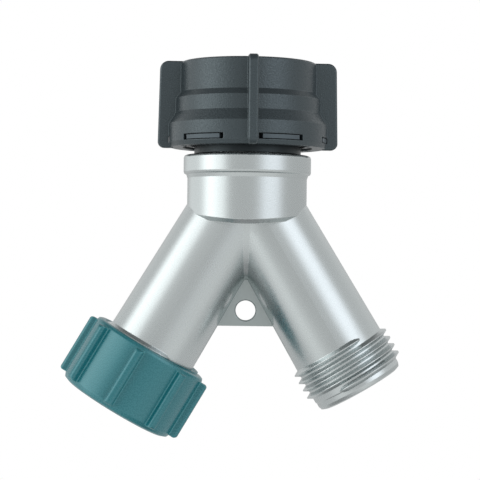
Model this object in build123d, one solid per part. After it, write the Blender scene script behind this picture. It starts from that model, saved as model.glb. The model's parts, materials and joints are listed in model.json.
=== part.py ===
from build123d import *
import math
import os

# Garden hose Y connector: a zinc casting with one inlet spigot and two threaded outlets, a winged
# swivel nut held on the spigot by a snap ring, and a ribbed cap screwed on the left outlet.
# Millimetres. +Z is up along the inlet, the two legs lie in the XZ plane, and the front faces -Y.
# The origin is on the inlet's axis, where the nut's thread starts, just inside its mouth.
# The outlets' male threads are real ridges. The female threads in the nut and the cap aren't in
# these solids: their walls have the thread's outer diameter with a clearance.

# Hose thread, 11.5 turns to the inch
thread_pitch = 25.4 / 11.5
thread_crest_d = 27.0
thread_crest_flat = 0.25
thread_depth = 1.3
thread_flank_deg = 30.0
thread_first_angle = -28.0
thread_turns = 4.0
thread_sink = 0.3
thread_nose_turns = 0.045
thread_nose_cuts = 3
thread_cuts_per_turn = 8
thread_end_margin = 0.65

# Clearances between pieces
screw_clearance = 0.2
seal_clearance = 0.15
turning_clearance = 0.25
snap_clearance = 0.2

# Swivel nut, from its mouth down
nut_mouth = 1.0
nut_height = 22.5
nut_top_d = 35.7
nut_middle_d = 38.2
nut_skirt_d = 41.8
nut_top_band = 8.1
nut_upper_cone = 1.6
nut_middle_band = 3.7
nut_lower_cone = 3.0
nut_mouth_chamfer = 0.8
nut_rim_round = 0.5
nut_foot_bevel = 0.6
nut_seat_depth = 11.4
nut_lip_height = 1.2
nut_lip_bore_d = 34.2
nut_cavity_d = 37.0
notch_count = 6
notch_width = 2.2
notch_angle = -5.0
notch_relief = 0.1
window_arc = 35.0

# Wings of the nut
wing_count = 4
wing_angle = 3.2
wing_thickness = 2.5
wing_reach_top = 23.3
wing_reach_foot = 23.75
wing_above_mouth = 0.2
wing_below_foot = 0.2
wing_top_corner = 2.3
wing_foot_corner = 1.7
wing_edge_chamfer = 0.35
wing_root_cover = 2.0
wing_window_cover = 0.05

# Washers
washer_thickness = 3.1
washer_hole_d = 16.4
washer_recess_step = 0.2

# Inlet spigot of the casting, and the snap ring round it
spigot_d = 23.6
spigot_bore_d = 18.0
flange_d = 26.6
flange_thickness = 2.1
ring_top_web = 1.8
ring_finger_wall = 1.7
ring_foot_rise = 0.5
ring_sleeve_wall = 2.0
ring_sleeve_lift = 0.3
ring_split = 1.6
ring_split_gap = 2
finger_gap = 2.4
lug_arc = 29.0
lug_height = 1.15
lug_inset = 0.15

# Collar and neck of the casting
collar_gap = 2.0
collar_d = 33.6
collar_height = 5.1
collar_round = 0.7
neck_d = 31.5
neck_cone = 1.0
neck_chamfer = 1.0
neck_front_drop = 9.2
neck_side_rise = 1.8
crossing_below_collar = 3.8

# Legs of the casting
leg_angle = 30.5
leg_length = 60.3
leg_inner_d = 22.8
leg_tip_length = 2.6
leg_tip_d = 24.0
leg_tip_step = 0.2
leg_tip_round = 1.2
leg_bore_d = 17.4
leg_bore_chamfer = 0.5
valley_bevel = 0.9
tool_overrun = 1.0

# Web between the legs, with its hanging hole
web_thickness = 2.6
web_foot = 35.9
web_hole_d = 5.25
web_hole_drop = 31.8
web_hole_chamfer = 0.3

# Screw cap on the left outlet
cap_d = 32.1
cap_overlap = 11.8
cap_end_wall = 3.3
cap_mouth_chamfer = 0.5
cap_recess_start = 0.6
cap_mouth_round = 0.9
cap_end_round = 1.6
rib_count = 8
rib_angle = 6.0
rib_width = 2.4
rib_proud = 2.0
rib_bury = 1.0
rib_mouth_margin = 1.1
rib_end_margin = 1.3
rib_round = 0.9

# Rounded rims are turned as this many short cones, so that their mesh stays light
rim_steps = 2

# Values that follow from the sizes above
root_radius = thread_crest_d / 2 - thread_depth
ridge_slope = math.tan(math.radians(thread_flank_deg))
thread_start = leg_length - leg_tip_length - thread_end_margin - thread_turns * thread_pitch
female_wall_radius = thread_crest_d / 2 + screw_clearance
washer_recess_radius = female_wall_radius + washer_recess_step
washer_radius = washer_recess_radius - seal_clearance
nut_seat_z = nut_mouth - nut_seat_depth
spigot_top = nut_seat_z - washer_thickness - 2 * seal_clearance
flange_foot = spigot_top - flange_thickness
ring_top = flange_foot - turning_clearance
nut_ledge_z = ring_top + snap_clearance
nut_foot = nut_mouth - nut_height
nut_lip_top = nut_foot + nut_lip_height
lug_foot = nut_lip_top + snap_clearance
lug_top = lug_foot + lug_height
window_top = lug_top + snap_clearance
collar_top = nut_foot - collar_gap
collar_foot = collar_top - collar_height
crossing_z = collar_foot - crossing_below_collar
cap_mouth = leg_length - cap_overlap
cap_washer_top = leg_length + seal_clearance
cap_floor = cap_washer_top + washer_thickness + seal_clearance
cap_end = cap_floor + cap_end_wall


def turned(points):
    """A solid turned about Z from (radius, height) points."""
    return revolve(Plane.XZ * make_face(Polyline(*points, close=True)), Axis.Z)


def sector(inner, outer, low, high, arc):
    """A block between two radii and two heights, turned through an arc that +X halves."""
    section = make_face(Polyline((inner, low), (outer, low), (outer, high), (inner, high), close=True))
    return Rot(0, 0, -arc / 2) * revolve(Plane.XZ * section, Axis.Z, arc)


def leg_frame(side):
    """A frame at the crossing of the axes: +Z runs out along the leg, +X to the front."""
    a = math.radians(leg_angle)
    outward = (side * math.sin(a), 0, -math.cos(a))
    return Plane(origin=(0, 0, crossing_z), x_dir=(0, -1, 0), z_dir=outward)


def round_rim(radius, height, size, side):
    """Profile points of a rounded outer rim; side is 1 for an upper rim and -1 for a lower one."""
    points = []
    for i in range(rim_steps + 1):
        a = math.radians(90 * i / rim_steps)
        points.append((radius - size * (1 - math.cos(a)), height - side * size * (1 - math.sin(a))))
    return points


def thread_section(turn, share):
    """A cut through the ridge, this many turns along it and with this share of the full depth."""
    angle = math.radians(thread_first_angle + 360 * turn)
    middle = thread_start + thread_pitch * turn
    base = root_radius - thread_sink
    crest = root_radius + thread_depth * share
    crest_half = thread_crest_flat / 2 * share
    base_half = crest_half + (crest - base) * ridge_slope
    corners = [(base, -base_half), (crest, -crest_half), (crest, crest_half), (base, base_half)]
    return Wire.make_polygon([
        Vector(radius * math.cos(angle), radius * math.sin(angle), middle + height)
        for radius, height in corners
    ])


def thread_ridge():
    """The right-handed ridge round Z, lofted in stretches, with a blunt rounded nose at each end."""
    first = [i / thread_nose_cuts for i in range(thread_nose_cuts + 1)]
    nose = [(part * thread_nose_turns, math.sqrt(1 - (1 - part) ** 2)) for part in first]
    nose[0] = (0, nose[1][1] / thread_nose_cuts)
    full_turns = thread_turns - 2 * thread_nose_turns
    stretch_count = math.ceil(full_turns)
    cuts = thread_cuts_per_turn
    stretches = [Solid.make_loft([thread_section(turn, share) for turn, share in nose], ruled=True)]
    for i in range(stretch_count):
        turns = [thread_nose_turns + full_turns * (i + j / cuts) / stretch_count for j in range(cuts + 1)]
        stretches.append(Solid.make_loft([thread_section(turn, 1) for turn in turns]))
    tail = [thread_section(thread_turns - turn, share) for turn, share in reversed(nose)]
    stretches.append(Solid.make_loft(tail, ruled=True))
    return stretches


def leg():
    """One outlet leg: a slim taper up to the thread, and a plain rounded tip beyond it."""
    tip_start = leg_length - leg_tip_length
    tip_radius = leg_tip_d / 2
    tube = turned([
        (0, 0),
        (leg_inner_d / 2, 0),
        (root_radius, thread_start),
        (root_radius, tip_start),
        (tip_radius, tip_start + leg_tip_step),
        *round_rim(tip_radius, leg_length, leg_tip_round, 1),
        (0, leg_length),
    ])
    return tube.fuse(*thread_ridge())


def leg_bore():
    """The waterway of one leg, with a small chamfer at the outlet."""
    mouth = leg_bore_d / 2
    return turned([
        (0, 0),
        (mouth, 0),
        (mouth, leg_length - leg_bore_chamfer),
        (mouth + leg_bore_chamfer, leg_length),
        (mouth + leg_bore_chamfer, leg_length + tool_overrun),
        (0, leg_length + tool_overrun),
    ])


def neck():
    """The neck under the collar: a short cylinder whose lower edge is a bevelled arch."""
    radius = neck_d / 2
    top = collar_foot - neck_cone
    low = crossing_z - neck_front_drop
    arch = ThreePointArc((-radius, low + neck_side_rise), (0, low), (radius, low + neck_side_rise))
    sides = Polyline((radius, low + neck_side_rise), (radius, top), (-radius, top),
                     (-radius, low + neck_side_rise))
    arched = extrude(Plane.XZ * make_face([arch, sides]), neck_d, both=True)
    barrel = Pos(0, 0, (top + low) / 2) * Cylinder(radius, top - low)
    solid = barrel & arched
    foot_edges = [e for e in solid.edges() if e.center().Z < (top + low) / 2]
    return chamfer(foot_edges, neck_chamfer)


def inlet():
    """Spigot with its flange, and the collar that closes the foot of the nut."""
    return turned([
        (0, spigot_top),
        (flange_d / 2, spigot_top),
        (flange_d / 2, flange_foot),
        (spigot_d / 2, flange_foot),
        (spigot_d / 2, collar_top),
        *reversed(round_rim(collar_d / 2, collar_top, collar_round, 1)),
        *round_rim(collar_d / 2, collar_foot, collar_round, -1),
        (neck_d / 2, collar_foot - neck_cone),
        (0, collar_foot - neck_cone),
    ])


def inlet_bore():
    """The waterway of the spigot and neck, ending in a ball where the legs branch."""
    length = spigot_top + tool_overrun - crossing_z
    bore = Pos(0, 0, crossing_z + length / 2) * Cylinder(spigot_bore_d / 2, length)
    return bore + Pos(0, 0, crossing_z) * Sphere(spigot_bore_d / 2)


def web():
    """The thin plate in the fork, before its hole."""
    foot = crossing_z - web_foot
    half = web_foot * math.tan(math.radians(leg_angle))
    outline = Polyline((0, crossing_z), (half, foot), (-half, foot), close=True)
    return extrude(Plane.XZ * make_face(outline), web_thickness / 2, both=True)


def web_hole():
    """The hanging hole through the web, chamfered on both faces."""
    r = web_hole_d / 2
    half = web_thickness / 2
    wide = r + web_hole_chamfer
    drill = turned([
        (0, -half - tool_overrun),
        (wide, -half - tool_overrun),
        (wide, -half),
        (r, -half + web_hole_chamfer),
        (r, half - web_hole_chamfer),
        (wide, half),
        (wide, half + tool_overrun),
        (0, half + tool_overrun),
    ])
    return Pos(0, 0, crossing_z - web_hole_drop) * Rot(90, 0, 0) * drill


def y_body():
    """The whole casting in one piece."""
    threaded_leg = leg()
    solid = inlet().fuse(neck(), leg_frame(-1) * threaded_leg, leg_frame(1) * threaded_leg)
    valley_top = crossing_z - neck_front_drop
    valley = [e for e in solid.edges() if abs((e @ 0.3).X) < 0.01 and abs((e @ 0.6).X) < 0.01
              and (e @ 0.5).Z < valley_top]
    solid = chamfer(valley, valley_bevel).fuse(web())
    return solid.cut(inlet_bore(), leg_frame(-1) * leg_bore(), leg_frame(1) * leg_bore(), web_hole())


def wing():
    """One wing of the nut in the plane of the axis, pointing along +X."""
    top = nut_mouth + wing_above_mouth
    foot = nut_foot - wing_below_foot
    upper_root = (female_wall_radius + nut_top_d / 2) / 2
    lower_root = (nut_cavity_d + nut_skirt_d) / 4
    step = nut_ledge_z + wing_root_cover
    outline = Polyline((upper_root, top), (wing_reach_top, top), (wing_reach_foot, foot),
                       (lower_root, foot), (lower_root, step), (upper_root, step), close=True)
    face = make_face(outline)
    face = fillet(face.vertices().group_by(Axis.Y)[0].sort_by(Axis.X)[-1], wing_foot_corner)
    face = fillet(face.vertices().group_by(Axis.Y)[-1].sort_by(Axis.X)[-1], wing_top_corner)
    plate = extrude(Plane.XZ * face, wing_thickness / 2, both=True)
    rim = [e for e in plate.edges() if abs(abs(e.center().Y) - wing_thickness / 2) < 0.01
           and e.center().X > nut_skirt_d / 2]
    return chamfer(rim, wing_edge_chamfer)


def swivel_nut():
    """The moulded nut: stepped outside, a wall for the tap's thread, and windows for the snap ring."""
    r_top = nut_top_d / 2
    r_mid = nut_middle_d / 2
    r_skirt = nut_skirt_d / 2
    z1 = nut_mouth - nut_top_band
    z2 = z1 - nut_upper_cone
    z3 = z2 - nut_middle_band
    z4 = z3 - nut_lower_cone
    solid = turned([
        (female_wall_radius + nut_mouth_chamfer, nut_mouth),
        *reversed(round_rim(r_top, nut_mouth, nut_rim_round, 1)),
        (r_top, z1),
        (r_mid, z2),
        (r_mid, z3),
        (r_skirt, z4),
        (r_skirt, nut_foot + 2 * nut_foot_bevel),
        (r_skirt - nut_foot_bevel, nut_foot),
        (nut_lip_bore_d / 2, nut_foot),
        (nut_lip_bore_d / 2, nut_lip_top),
        (nut_cavity_d / 2, nut_lip_top),
        (nut_cavity_d / 2, nut_ledge_z),
        (washer_recess_radius, nut_ledge_z),
        (washer_recess_radius, nut_seat_z),
        (female_wall_radius, nut_seat_z),
        (female_wall_radius, nut_mouth - nut_mouth_chamfer),
    ])
    notch = Pos((nut_lip_bore_d + nut_cavity_d) / 4, 0, nut_foot) * Box(
        (nut_cavity_d - nut_lip_bore_d) / 2 + tool_overrun, notch_width, 2 * (nut_lip_height + notch_relief))
    inside = nut_cavity_d / 2 - tool_overrun
    window = sector(inside, r_skirt + tool_overrun, nut_lip_top, window_top, window_arc)
    relief = sector(inside, r_skirt - wing_window_cover, nut_lip_top, window_top, window_arc)
    at_notches = [notch_angle - 90 + i * 360 / notch_count for i in range(notch_count)]
    at_windows = [angle + 180 / notch_count for angle in at_notches]
    solid = solid.cut(*[Rot(0, 0, angle) * notch for angle in at_notches],
                      *[Rot(0, 0, angle) * window for angle in at_windows])
    at_wings = [wing_angle - 90 + i * 360 / wing_count for i in range(wing_count)]
    wings = [Rot(0, 0, angle) * wing() for angle in at_wings]
    reliefs = [Rot(0, 0, angle) * relief for angle in at_windows]
    return solid.fuse(*[plate.cut(*reliefs) for plate in wings])


def retaining_ring():
    """The split snap ring: a web under the flange, a sleeve, and fingers whose lugs fill the windows."""
    inner = spigot_d / 2 + turning_clearance
    outer = nut_lip_bore_d / 2 - snap_clearance
    foot = nut_foot + ring_foot_rise
    web_foot_z = ring_top - ring_top_web
    sleeve_foot = collar_top + ring_sleeve_lift
    web = turned([
        (inner, ring_top),
        (outer, ring_top),
        (outer, foot),
        (outer - ring_finger_wall, foot),
        (outer - ring_finger_wall, web_foot_z),
        (inner, web_foot_z),
    ])
    sleeve = turned([
        (inner, ring_top),
        (inner + ring_sleeve_wall, ring_top),
        (inner + ring_sleeve_wall, sleeve_foot),
        (inner, sleeve_foot),
    ])
    lug = sector(outer - ring_finger_wall / 2, nut_skirt_d / 2 - lug_inset, lug_foot, lug_top, lug_arc)
    slot_height = web_foot_z - foot + tool_overrun
    slot = Pos(outer, 0, web_foot_z - slot_height / 2) * Box(
        2 * (ring_finger_wall + tool_overrun), finger_gap, slot_height)
    split = Pos((inner + outer) / 2, 0, (ring_top + sleeve_foot) / 2) * Box(
        outer - inner + 2 * tool_overrun, ring_split, ring_top - sleeve_foot + tool_overrun)
    at_notches = [notch_angle - 90 + i * 360 / notch_count for i in range(notch_count)]
    split_at = notch_angle - 90 + ring_split_gap * 360 / notch_count
    fingers = web.fuse(*[Rot(0, 0, a + 180 / notch_count) * lug for a in at_notches])
    fingers = fingers.cut(*[Rot(0, 0, a) * slot for a in at_notches])
    return fingers.fuse(sleeve).cut(Rot(0, 0, split_at) * split)


def hose_washer():
    """The rubber washer between the tap and the spigot."""
    top = nut_seat_z - seal_clearance
    return turned([
        (washer_hole_d / 2, top),
        (washer_radius, top),
        (washer_radius, top - washer_thickness),
        (washer_hole_d / 2, top - washer_thickness),
    ])


def rib():
    """One grip rib of the cap along its axis, pointing along +X."""
    length = (cap_end - rib_end_margin) - (cap_mouth + rib_mouth_margin)
    middle = Pos(cap_d / 2 + (rib_proud - rib_bury) / 2, 0, cap_mouth + rib_mouth_margin + length / 2)
    bar = middle * Box(rib_proud + rib_bury, rib_width, length)
    face = bar.faces().sort_by(Axis.X)[-1]
    return fillet(face.edges(), rib_round)


def outlet_cap():
    """The ribbed screw cap on the left outlet."""
    r = cap_d / 2
    cup = turned([
        (0, cap_end),
        *reversed(round_rim(r, cap_end, cap_end_round, 1)),
        *round_rim(r, cap_mouth, cap_mouth_round, -1),
        (female_wall_radius + cap_mouth_chamfer, cap_mouth),
        (female_wall_radius, cap_mouth + cap_mouth_chamfer),
        (female_wall_radius, leg_length - cap_recess_start),
        (washer_recess_radius, leg_length - cap_recess_start + washer_recess_step),
        (washer_recess_radius, cap_floor),
        (0, cap_floor),
    ])
    bar = rib()
    ribs = [Rot(0, 0, rib_angle + i * 360 / rib_count) * bar for i in range(rib_count)]
    return leg_frame(-1) * cup.fuse(*ribs)


def cap_washer():
    """The rubber washer in the bottom of the cap."""
    foot = cap_washer_top + washer_thickness
    return leg_frame(-1) * turned([
        (washer_hole_d / 2, cap_washer_top),
        (washer_radius, cap_washer_top),
        (washer_radius, foot),
        (washer_hole_d / 2, foot),
    ])


parts = {
    "y_body": y_body(),
    "swivel_nut": swivel_nut(),
    "retaining_ring": retaining_ring(),
    "hose_washer": hose_washer(),
    "outlet_cap": outlet_cap(),
    "cap_washer": cap_washer(),
}

os.makedirs("parts", exist_ok=True)
for name, shape in parts.items():
    export_step(shape, f"parts/{name}.step")
    print(name, "volume", round(shape.volume), "mm3, valid", shape.is_valid)
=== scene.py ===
import json
import math

import bmesh
import bpy
from mathutils import Matrix, Vector


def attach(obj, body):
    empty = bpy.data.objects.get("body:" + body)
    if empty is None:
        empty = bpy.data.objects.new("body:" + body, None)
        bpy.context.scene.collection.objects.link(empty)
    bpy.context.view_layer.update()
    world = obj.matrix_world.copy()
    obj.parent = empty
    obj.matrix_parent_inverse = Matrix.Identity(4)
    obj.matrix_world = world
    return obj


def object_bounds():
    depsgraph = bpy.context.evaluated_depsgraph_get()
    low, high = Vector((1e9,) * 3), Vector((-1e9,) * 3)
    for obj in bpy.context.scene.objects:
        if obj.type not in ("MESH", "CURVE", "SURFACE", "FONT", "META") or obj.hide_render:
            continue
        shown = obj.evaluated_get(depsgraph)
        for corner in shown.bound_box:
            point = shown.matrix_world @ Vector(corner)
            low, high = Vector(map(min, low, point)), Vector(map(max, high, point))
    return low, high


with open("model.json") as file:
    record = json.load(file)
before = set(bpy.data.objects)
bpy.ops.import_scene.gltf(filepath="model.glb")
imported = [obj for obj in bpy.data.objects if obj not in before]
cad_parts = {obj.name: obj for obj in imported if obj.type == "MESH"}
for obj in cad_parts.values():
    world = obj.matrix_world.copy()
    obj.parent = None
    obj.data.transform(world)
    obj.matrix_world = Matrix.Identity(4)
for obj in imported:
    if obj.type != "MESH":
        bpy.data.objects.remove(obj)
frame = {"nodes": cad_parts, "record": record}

cad_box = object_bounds()
record = frame["record"]
nodes = frame["nodes"]
mounts = {mount["name"]: mount for mount in record["mounts"]}
mm = 0.001

# The photograph: taken from the front, from about half a metre away and a little below, with the
# connector slightly turned in the picture. The camera looks along +Y at the middle of the picture.
camera_distance = 500 * mm
camera_aim = Vector((-1.68, 0.0, -45.68)) * mm
camera_tilt = math.radians(1.0)
camera_roll = math.radians(-0.75)
photo_width_px = 480
photo_px_per_mm = 3.792
sensor_width = 36.0

camera_data = bpy.data.cameras.new("studio_camera")
camera_data.sensor_width = sensor_width
camera_data.lens = sensor_width * photo_px_per_mm * (camera_distance / mm) / photo_width_px
camera = bpy.data.objects.new("studio_camera", camera_data)
bpy.context.scene.collection.objects.link(camera)
camera.matrix_world = (
    Matrix.Translation(camera_aim)
    @ Matrix.Rotation(camera_tilt, 4, "X")
    @ Matrix.Rotation(camera_roll, 4, "Y")
    @ Matrix.Translation((0, -camera_distance, 0))
    @ Matrix.Rotation(math.radians(90), 4, "X")
)
camera_data.clip_start = 0.01
bpy.context.scene.camera = camera

# The studio: a white sweep behind the connector, a wide soft box at the upper left with a brighter
# core, a bluer one at the upper right, and a dimmer room in front and below.
bpy.context.scene.view_settings.view_transform = "Standard"
world = bpy.data.worlds.new("studio")
bpy.context.scene.world = world
world.use_nodes = True


def add_node(tree, kind, place, **settings):
    """One shader node at a place in the tree, with its properties set by name."""
    made = tree.nodes.new(kind)
    made.location = place
    for name, value in settings.items():
        setattr(made, name, value)
    return made


def compute(tree, operation, place, *values):
    """A Math node: each value is a number or the socket that feeds it."""
    made = add_node(tree, "ShaderNodeMath", place, operation=operation)
    for socket, value in zip(made.inputs, values):
        if isinstance(value, bpy.types.NodeSocket):
            tree.links.new(value, socket)
        else:
            socket.default_value = value
    return made.outputs["Value"]


def soft_band(tree, value, centre, half_width, softness, place):
    """1 where value lies within half_width of centre, falling softly to 0 outside."""
    away = compute(tree, "ABSOLUTE", place, compute(tree, "SUBTRACT", place, value, centre))
    fall = add_node(tree, "ShaderNodeMapRange", place, interpolation_type="SMOOTHSTEP")
    tree.links.new(away, fall.inputs["Value"])
    fall.inputs["From Min"].default_value = half_width - softness
    fall.inputs["From Max"].default_value = half_width + softness
    fall.inputs["To Min"].default_value = 1.0
    fall.inputs["To Max"].default_value = 0.0
    return fall.outputs["Result"]


sky = world.node_tree
sky.nodes.clear()
direction = add_node(sky, "ShaderNodeTexCoord", (-1400, 0))
parts = add_node(sky, "ShaderNodeSeparateXYZ", (-1200, 0))
sky.links.new(direction.outputs["Generated"], parts.inputs["Vector"])
to_front = compute(sky, "MULTIPLY", (-1000, 200), parts.outputs["Y"], -1.0)
around = compute(sky, "ARCTAN2", (-800, 200), parts.outputs["X"], to_front)
height = compute(sky, "ARCSINE", (-1000, -200), parts.outputs["Z"])

# The room's light by height, from straight down to straight up, and the boxes by their direction:
# degrees round from the camera, degrees up, and half of each size.
room_levels = (
    (0.0, 0.33), (0.10, 0.34), (0.19, 0.60), (0.28, 0.66), (0.40, 0.60),
    (0.50, 0.49), (0.60, 0.82), (0.68, 0.70), (0.76, 0.24),
)
boxes = (
    {"around": -67, "half": 26, "up": 14, "rise": 30, "soft": 9, "colour": (0.98, 1.0, 1.0), "gain": 0.9},
    {"around": -74, "half": 9, "up": 12, "rise": 24, "soft": 8, "colour": (1.0, 1.0, 1.0), "gain": 0.45},
    {"around": -120, "half": 25, "up": 0, "rise": 10, "soft": 12, "colour": (0.98, 1.0, 1.0), "gain": 0.45},
    {"around": 46, "half": 20, "up": 20, "rise": 24, "soft": 12, "colour": (0.95, 0.98, 1.06), "gain": 0.88},
    {"around": 0, "half": 66, "up": -28, "rise": 14, "soft": 14, "colour": (1.0, 1.0, 0.98), "gain": 0.22},
)

level = add_node(sky, "ShaderNodeValToRGB", (-600, -300))
level.color_ramp.interpolation = "B_SPLINE"
ramp = level.color_ramp.elements
for place, light in room_levels:
    stop = ramp[0] if place == 0 else ramp.new(place)
    stop.color = (light, light, light, 1)
ramp[-1].color = (room_levels[-1][1], room_levels[-1][1], room_levels[-1][1], 1)
share = compute(sky, "MULTIPLY_ADD", (-800, -300), height, 1 / math.pi, 0.5)
sky.links.new(share, level.inputs["Fac"])
room_light = level.outputs["Color"]
for step, box in enumerate(boxes):
    x = -400 + 220 * step
    soft = math.radians(box["soft"])
    across = soft_band(sky, around, math.radians(box["around"]), math.radians(box["half"]), soft, (x, 400))
    upright = soft_band(sky, height, math.radians(box["up"]), math.radians(box["rise"]), soft, (x, 100))
    mask = compute(sky, "MULTIPLY", (x, 0), across, upright)
    gain = compute(sky, "MULTIPLY", (x, -100), mask, box["gain"])
    glow = add_node(sky, "ShaderNodeMix", (x, -200), data_type="RGBA", blend_type="ADD")
    sky.links.new(gain, glow.inputs["Factor"])
    sky.links.new(room_light, glow.inputs["A"])
    glow.inputs["B"].default_value = (*box["colour"], 1)
    room_light = glow.outputs["Result"]
rays = add_node(sky, "ShaderNodeLightPath", (200, 400))
seen = add_node(sky, "ShaderNodeMix", (500, 0), data_type="RGBA")
sky.links.new(rays.outputs["Is Camera Ray"], seen.inputs["Factor"])
sky.links.new(room_light, seen.inputs["A"])
seen.inputs["B"].default_value = (1, 1, 1, 1)
background = add_node(sky, "ShaderNodeBackground", (700, 0))
sky.links.new(seen.outputs["Result"], background.inputs["Color"])
output = add_node(sky, "ShaderNodeOutputWorld", (900, 0))
sky.links.new(background.outputs["Background"], output.inputs["Surface"])

# The floor: a plain pale table far under the hanging connector, as white as the sweep to the camera.
floor_drop = 300 * mm
floor_size = 300 * mm
floor_shade = 0.6
floor_mesh = bmesh.new()
bmesh.ops.create_grid(floor_mesh, x_segments=1, y_segments=1, size=floor_size / 2)
bmesh.ops.translate(floor_mesh, verts=floor_mesh.verts, vec=(0, 0, cad_box[0].z - floor_drop))
floor = bpy.data.objects.new("floor", bpy.data.meshes.new("floor"))
floor_mesh.to_mesh(floor.data)
floor_mesh.free()
bpy.context.scene.collection.objects.link(floor)
pale = bpy.data.materials.new("pale_floor")
pale.use_nodes = True
tree = pale.node_tree
tree.nodes.clear()
rays = add_node(tree, "ShaderNodeLightPath", (-400, 200))
lit = add_node(tree, "ShaderNodeBsdfDiffuse", (-400, -200))
lit.inputs["Color"].default_value = (floor_shade, floor_shade, floor_shade, 1)
white = add_node(tree, "ShaderNodeEmission", (-400, 0))
either = add_node(tree, "ShaderNodeMixShader", (-100, 0))
output = add_node(tree, "ShaderNodeOutputMaterial", (100, 0))
tree.links.new(rays.outputs["Is Camera Ray"], either.inputs["Fac"])
tree.links.new(lit.outputs["BSDF"], either.inputs[1])
tree.links.new(white.outputs["Emission"], either.inputs[2])
tree.links.new(either.outputs["Shader"], output.inputs["Surface"])
floor.data.materials.append(pale)

# The casting: one piece of zinc, die cast round cores, tumbled and left bare. Its skin is satin, with
# a fine even grain, and the draft, the valley and the web's roots are softly rounded.


def surface_group(name, outputs, **inputs):
    """An empty shader group with float inputs and the named outputs, ready for its nodes."""
    group = bpy.data.node_groups.new(name, "ShaderNodeTree")
    for label, value in inputs.items():
        socket = group.interface.new_socket(label, in_out="INPUT", socket_type="NodeSocketFloat")
        socket.default_value = value
    for label, kind in outputs.items():
        group.interface.new_socket(label, in_out="OUTPUT", socket_type=kind)
    entry = add_node(group, "NodeGroupInput", (-900, 0))
    exit_node = add_node(group, "NodeGroupOutput", (900, 0))
    return group, entry.outputs, exit_node.inputs


grain, given, made = surface_group(
    "cast_grain",
    {"Height": "NodeSocketFloat", "Speckle": "NodeSocketFloat", "Cloud": "NodeSocketFloat"},
    Fine=5200.0,
    Coarse=900.0,
    Cloud_size=70.0,
)
place = add_node(grain, "ShaderNodeTexCoord", (-700, 200))
fine = add_node(grain, "ShaderNodeTexNoise", (-400, 300))
coarse = add_node(grain, "ShaderNodeTexNoise", (-400, 0))
cloud = add_node(grain, "ShaderNodeTexNoise", (-400, -300))
fine.inputs["Detail"].default_value = 2.0
coarse.inputs["Detail"].default_value = 3.0
cloud.inputs["Detail"].default_value = 2.0
for noise, label in ((fine, "Fine"), (coarse, "Coarse"), (cloud, "Cloud_size")):
    grain.links.new(place.outputs["Object"], noise.inputs["Vector"])
    grain.links.new(given[label], noise.inputs["Scale"])
bumps = compute(grain, "MULTIPLY_ADD", (0, 200), coarse.outputs["Fac"], 0.6, fine.outputs["Fac"])
grain.links.new(bumps, made["Height"])
grain.links.new(fine.outputs["Fac"], made["Speckle"])
grain.links.new(cloud.outputs["Fac"], made["Cloud"])


# The painted edge highlight: a mask that is 1 along rounded edges, where the colour is lightened to stand in
# for the light they catch.
highlight_edge_group, given, made = surface_group("painted_edge_highlight", {"Edge": "NodeSocketFloat"}, Width=0.0004, Reach=4.0)
rounded = add_node(highlight_edge_group, "ShaderNodeBevel", (-600, 200), samples=6)
flat_face = add_node(highlight_edge_group, "ShaderNodeNewGeometry", (-600, -100))
facing = add_node(highlight_edge_group, "ShaderNodeVectorMath", (-300, 100), operation="DOT_PRODUCT")
highlight_edge_group.links.new(given["Width"], rounded.inputs["Radius"])
highlight_edge_group.links.new(rounded.outputs["Normal"], facing.inputs[0])
highlight_edge_group.links.new(flat_face.outputs["Normal"], facing.inputs[1])
turned = compute(highlight_edge_group, "SUBTRACT", (0, 100), 1.0, facing.outputs["Value"])
strong = compute(highlight_edge_group, "MULTIPLY", (200, 100), turned, given["Reach"])
highlight_edge_group.links.new(compute(highlight_edge_group, "MINIMUM", (400, 100), strong, 1.0), made["Edge"])


def varied(tree, factor, low, high, place):
    """A number that follows a 0 to 1 mask between two values."""
    spread = add_node(tree, "ShaderNodeMapRange", place)
    tree.links.new(factor, spread.inputs["Value"])
    spread.inputs["From Min"].default_value = 0.3
    spread.inputs["From Max"].default_value = 0.7
    spread.inputs["To Min"].default_value = low
    spread.inputs["To Max"].default_value = high
    return spread.outputs["Result"]


def mixed(tree, factor, dark, light, place):
    """A colour between two, by a mask."""
    blend = add_node(tree, "ShaderNodeMix", place, data_type="RGBA")
    tree.links.new(factor, blend.inputs["Factor"])
    blend.inputs["A"].default_value = (*dark, 1)
    blend.inputs["B"].default_value = (*light, 1)
    return blend.outputs["Result"]


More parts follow.
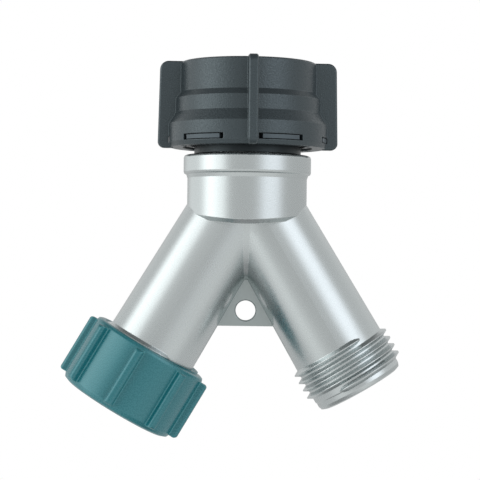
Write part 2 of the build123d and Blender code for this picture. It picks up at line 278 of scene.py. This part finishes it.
def finish_material(name, edge_radius, bump_depth, rough, colours, grain_sizes=None, edge_highlight_colour=None, **shine):
    """A Principled material whose grain, colour and roughness come from the cast grain group."""
    material = bpy.data.materials.new(name)
    material.use_nodes = True
    tree = material.node_tree
    shader = tree.nodes["Principled BSDF"]
    for label, value in shine.items():
        shader.inputs[label.replace("_", " ")].default_value = value
    skin = add_node(tree, "ShaderNodeGroup", (-900, 0), node_tree=grain)
    for label, value in (grain_sizes or {}).items():
        skin.inputs[label].default_value = value
    base = mixed(tree, skin.outputs["Cloud"], *colours, (-500, 300))
    # Edges get a lighter colour here: a painted edge highlight.
    if edge_highlight_colour:
        edges = add_node(tree, "ShaderNodeGroup", (-700, 600), node_tree=highlight_edge_group)
        edges.inputs["Width"].default_value = edge_radius
        light_edge = add_node(tree, "ShaderNodeMix", (-250, 400), data_type="RGBA")
        tree.links.new(edges.outputs["Edge"], light_edge.inputs["Factor"])
        tree.links.new(base, light_edge.inputs["A"])
        light_edge.inputs["B"].default_value = (*edge_highlight_colour, 1)
        base = light_edge.outputs["Result"]
    tree.links.new(base, shader.inputs["Base Color"])
    tree.links.new(varied(tree, skin.outputs["Speckle"], *rough, (-500, 0)), shader.inputs["Roughness"])
    edge = add_node(tree, "ShaderNodeBevel", (-600, -400), samples=8)
    edge.inputs["Radius"].default_value = edge_radius
    bump = add_node(tree, "ShaderNodeBump", (-300, -300))
    bump.inputs["Strength"].default_value = 1.0
    bump.inputs["Distance"].default_value = bump_depth
    tree.links.new(skin.outputs["Height"], bump.inputs["Height"])
    tree.links.new(edge.outputs["Normal"], bump.inputs["Normal"])
    tree.links.new(bump.outputs["Normal"], shader.inputs["Normal"])
    return material


zinc = finish_material(
    "zinc_casting",
    edge_radius=0.25 * mm,
    bump_depth=0.010 * mm,
    rough=(0.23, 0.33),
    colours=((0.575, 0.620, 0.622), (0.610, 0.655, 0.658)),
    # Lighter colour along the edges: a painted edge highlight.
    edge_highlight_colour=(0.780, 0.815, 0.815),
    Metallic=1.0,
)

# The tumbling hardly reaches the flat web between the legs, so it keeps a rougher skin; its darker colour
# there is painted shade of the recess between the legs.
web_reach = 12.0 * mm
web_mask_depth = 2.3 * mm
web_painted_shade_colour = (0.430, 0.480, 0.476)
web_skin_dullness = 0.14
tree = zinc.node_tree
shader = tree.nodes["Principled BSDF"]
spot = add_node(tree, "ShaderNodeTexCoord", (-1500, 700))
where = add_node(tree, "ShaderNodeSeparateXYZ", (-1300, 700))
tree.links.new(spot.outputs["Object"], where.inputs["Vector"])
web_shade_and_rough_mask = compute(
    tree, "MULTIPLY", (-600, 700),
    soft_band(tree, where.outputs["Y"], 0.0, web_mask_depth, 0.3 * mm, (-1000, 800)),
    soft_band(tree, where.outputs["X"], 0.0, web_reach, 1.0 * mm, (-1000, 600)))
edge_lit_colour = shader.inputs["Base Color"].links[0].from_socket
# Darker colour on the web: painted shade of the recess between the legs.
web_shaded_colour = add_node(tree, "ShaderNodeMix", (-200, 400), data_type="RGBA")
tree.links.new(web_shade_and_rough_mask, web_shaded_colour.inputs["Factor"])
tree.links.new(edge_lit_colour, web_shaded_colour.inputs["A"])
web_shaded_colour.inputs["B"].default_value = (*web_painted_shade_colour, 1)
tree.links.new(web_shaded_colour.outputs["Result"], shader.inputs["Base Color"])
polish = shader.inputs["Roughness"].links[0].from_socket
rougher = compute(tree, "MULTIPLY_ADD", (-200, 100), web_shade_and_rough_mask, web_skin_dullness, polish)
tree.links.new(rougher, shader.inputs["Roughness"])


def dress(node, material):
    """Gives a CAD node's object one material."""
    target = nodes[node].data
    target.materials.clear()
    target.materials.append(material)


dress("y_body", zinc)

# The last of the open outlet's thread: the casting's ridge has four whole turns, and this stretch of
# the same ridge runs on to its blunt nose at the front. It is part of the casting.
thread_pitch = 25.4 / 11.5 * mm
thread_crest_radius = 13.5 * mm
thread_root_radius = 12.2 * mm
thread_crest_flat = 0.25 * mm
thread_flank_slope = math.tan(math.radians(30))
thread_sink = 0.25 * mm
thread_turns = 4.0
thread_first_angle = -28.0
thread_from_rim = 12.086 * mm
thread_steps_per_turn = 72
thread_nose_deg = 14.0
thread_end_angle = 27.0
thread_lead_in_deg = 30.0
ridge_edge_round = 0.09 * mm
smallest_nose = 0.04


def thread_ridge(name, wall, crest, flat, first_angle, turns, first_height, nose_deg):
    """A right-handed ridge round Z, spun from one section, with each end rounded back into the wall."""
    inward = math.copysign(1, wall - crest)
    base = wall + inward * thread_sink
    half_crest = flat / 2
    half_base = half_crest + abs(base - crest) * thread_flank_slope
    bm = bmesh.new()
    corners = ((base, -half_base), (crest, -half_crest), (crest, half_crest), (base, half_base))
    section = bm.faces.new([bm.verts.new((r, 0, first_height + h)) for r, h in corners])
    steps = round(turns * thread_steps_per_turn)
    bmesh.ops.spin(
        bm,
        geom=[section, *section.edges, *section.verts],
        cent=(0, 0, 0),
        axis=(0, 0, 1),
        dvec=(0, 0, thread_pitch / thread_steps_per_turn),
        angle=2 * math.pi * steps / thread_steps_per_turn,
        steps=steps,
        use_duplicate=False,
    )
    bm.verts.ensure_lookup_table()
    step_deg = 360 / thread_steps_per_turn
    for vert in bm.verts:
        step = vert.index // len(corners)
        to_end = min(step, steps - step) * step_deg / nose_deg
        if to_end < 1:
            keep = max(smallest_nose, math.sqrt(1 - (1 - to_end) ** 2))
            middle = first_height + thread_pitch * step / thread_steps_per_turn
            radius = math.hypot(vert.co.x, vert.co.y)
            scaled = (base + (radius - base) * keep) / radius
            vert.co = Vector((vert.co.x * scaled, vert.co.y * scaled, middle + (vert.co.z - middle) * keep))
    start = Matrix.Rotation(math.radians(first_angle), 3, "Z")
    bmesh.ops.rotate(bm, verts=bm.verts, cent=(0, 0, 0), matrix=start)
    bmesh.ops.recalc_face_normals(bm, faces=bm.faces)
    crest_edges = [
        e for e in bm.edges
        if all(abs(math.hypot(v.co.x, v.co.y) - base) > 0.5 * abs(crest - base) for v in e.verts)
        and len(e.link_faces) == 2 and e.calc_face_angle() > math.radians(20)
    ]
    bmesh.ops.bevel(
        bm, geom=crest_edges, offset=ridge_edge_round, segments=2, profile=0.5, affect="EDGES", material=-1)
    for face in bm.faces:
        face.smooth = True
    ridge = bpy.data.objects.new(name, bpy.data.meshes.new(name))
    bm.to_mesh(ridge.data)
    bm.free()
    bpy.context.scene.collection.objects.link(ridge)
    return ridge


def leg_frame(side):
    """The frame at an outlet's rim: +Z out along the leg and +X to the front. side is -1 or 1."""
    left = mounts["left_outlet"]
    rim = Vector(left["pos_m"])
    out = Vector(left["axis"]).normalized()
    rim.x *= -side
    out.x *= -side
    front = Vector((0, -1, 0))
    across = out.cross(front)
    turn = Matrix((front, across, out)).transposed().to_4x4()
    return Matrix.Translation(rim) @ turn


lead_in_angle = thread_first_angle - thread_lead_in_deg
run_out = thread_ridge(
    "right_thread_end", thread_root_radius, thread_crest_radius, thread_crest_flat, lead_in_angle,
    (thread_end_angle - lead_in_angle) / 360,
    thread_pitch * (thread_turns - thread_lead_in_deg / 360) - thread_from_rim, thread_nose_deg)
run_out.data.transform(leg_frame(1))
run_out.data.materials.append(zinc)
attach(run_out, "casting")

# The swivel nut: moulded in black polymer with four wings and a fine spark-eroded skin; its edges get a
# painted highlight. Its female thread is moulded inside the mouth, above the hose washer.
black = finish_material(
    "black_polymer",
    edge_radius=0.35 * mm,
    bump_depth=0.065 * mm,
    rough=(0.22, 0.48),
    colours=((0.014, 0.021, 0.025), (0.021, 0.029, 0.033)),
    # Lighter colour along the edges: a painted edge highlight.
    edge_highlight_colour=(0.055, 0.068, 0.074),
    grain_sizes={"Fine": 2600.0, "Coarse": 1200.0},
    Specular_IOR_Level=1.0,
    Specular_Tint=(0.84, 1.0, 1.06, 1.0),
)
dress("swivel_nut", black)
nut_wall_radius = mounts["inlet_thread"]["dims"]["r_mm"] * mm
nut_thread_length = mounts["inlet_thread"]["dims"]["length_mm"] * mm
female_thread_depth = 1.1 * mm
female_crest_flat = 0.55 * mm
nut_thread_turns = 3.6
nut_thread_first_angle = 40.0
nut_thread_above_washer = 1.3 * mm
nut_thread_first_height = -nut_thread_length + nut_thread_above_washer
nut_ridge = thread_ridge(
    "inlet_thread_ridge", nut_wall_radius, nut_wall_radius - female_thread_depth, female_crest_flat,
    nut_thread_first_angle, nut_thread_turns, nut_thread_first_height, thread_nose_deg)
nut_ridge.data.materials.append(black)
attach(nut_ridge, "nut")

# The snap ring: split, moulded in the same polymer, with a smoother skin. Its lugs show in the windows
# of the nut's skirt.
ring_black = finish_material(
    "ring_polymer",
    edge_radius=0.2 * mm,
    bump_depth=0.008 * mm,
    rough=(0.30, 0.38),
    colours=((0.062, 0.078, 0.090), (0.070, 0.088, 0.100)),
    Specular_IOR_Level=0.6,
    Specular_Tint=(0.84, 1.0, 1.06, 1.0),
)

# Everything but the lugs is painted nearly black: painted shade inside the nut, round the casting's spigot.
ring_shade_reach = 18.0 * mm
ring_painted_shade_colour = (0.004, 0.006, 0.007)
tree = ring_black.node_tree
shader = tree.nodes["Principled BSDF"]
spot = add_node(tree, "ShaderNodeTexCoord", (-1500, 700))
where = add_node(tree, "ShaderNodeSeparateXYZ", (-1300, 700))
tree.links.new(spot.outputs["Object"], where.inputs["Vector"])
ring_radius = compute(
    tree, "SQRT", (-900, 700),
    compute(tree, "ADD", (-1000, 700),
            compute(tree, "MULTIPLY", (-1100, 800), where.outputs["X"], where.outputs["X"]),
            compute(tree, "MULTIPLY", (-1100, 600), where.outputs["Y"], where.outputs["Y"])))
ring_shade_mask = soft_band(tree, ring_radius, 0.0, ring_shade_reach, 0.2 * mm, (-700, 700))
ring_unshaded_colour = shader.inputs["Base Color"].links[0].from_socket
# Painted shade: the ring is darkened to nearly black near the axis.
ring_shaded_colour = add_node(tree, "ShaderNodeMix", (-200, 400), data_type="RGBA")
tree.links.new(ring_shade_mask, ring_shaded_colour.inputs["Factor"])
tree.links.new(ring_unshaded_colour, ring_shaded_colour.inputs["A"])
ring_shaded_colour.inputs["B"].default_value = (*ring_painted_shade_colour, 1)
tree.links.new(ring_shaded_colour.outputs["Result"], shader.inputs["Base Color"])
dress("retaining_ring", ring_black)

# The two washers: pressed black rubber, dull, with a faint bloom.
rubber = finish_material(
    "washer_rubber",
    edge_radius=0.3 * mm,
    bump_depth=0.02 * mm,
    rough=(0.62, 0.78),
    colours=((0.028, 0.028, 0.028), (0.042, 0.042, 0.040)),
    grain_sizes={"Fine": 3000.0},
)
dress("hose_washer", rubber)
dress("cap_washer", rubber)

# The outlet cap: moulded in teal polymer with eight grip ribs, semi-matte, and threaded inside to
# screw down on the left outlet.
teal = finish_material(
    "teal_polymer",
    edge_radius=0.5 * mm,
    bump_depth=0.005 * mm,
    rough=(0.24, 0.31),
    colours=((0.004, 0.136, 0.164), (0.006, 0.154, 0.183)),
    # Lighter colour along the rib edges: a painted edge highlight.
    edge_highlight_colour=(0.100, 0.390, 0.420),
    grain_sizes={"Fine": 3200.0, "Coarse": 1300.0},
    Specular_IOR_Level=1.0,
    Specular_Tint=(0.62, 1.0, 1.04, 1.0),
    IOR=1.62,
)
dress("outlet_cap", teal)
cap_thread_turns = 3.2
cap_thread_first_angle = 126.0
cap_crest_flat = 0.45 * mm
cap_wall_radius = nut_wall_radius
turn_share = (cap_thread_first_angle - thread_first_angle) / 360
cap_thread_first_height = -thread_from_rim + thread_pitch * (turn_share + 0.5)
cap_ridge = thread_ridge(
    "cap_thread_ridge", cap_wall_radius, cap_wall_radius - female_thread_depth, cap_crest_flat,
    cap_thread_first_angle, cap_thread_turns, cap_thread_first_height - thread_pitch, thread_nose_deg)
cap_ridge.data.transform(leg_frame(-1))
cap_ridge.data.materials.append(teal)
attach(cap_ridge, "cap")
